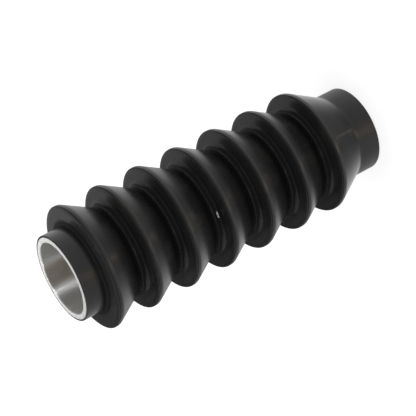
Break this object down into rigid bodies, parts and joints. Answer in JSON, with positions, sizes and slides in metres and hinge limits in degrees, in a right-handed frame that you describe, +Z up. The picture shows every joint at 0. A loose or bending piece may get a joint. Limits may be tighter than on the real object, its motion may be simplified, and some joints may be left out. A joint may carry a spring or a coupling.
{
  "type": "corrugated rubber sleeve",
  "caption": "Corrugated black rubber sleeve moulded on an aluminium tube, with barbed ring ribs that grip a round hole and a plain collar at each end.",
  "frame": {"origin": "centre of the foot end's face, which the part stands on", "axes": "+Z up along the tube's axis, towards the end that the square rib flanks face"},
  "size_m": [0.0726, 0.0726, 0.1988],
  "materials": {
    "tube_aluminium": "satin, turned",
    "black_rubber": "semi-gloss, moulded"
  },
  "bodies": {
    "root": {"core_tube": "tube_aluminium", "rubber_sleeve": "black_rubber"}
  },
  "joints": []
}
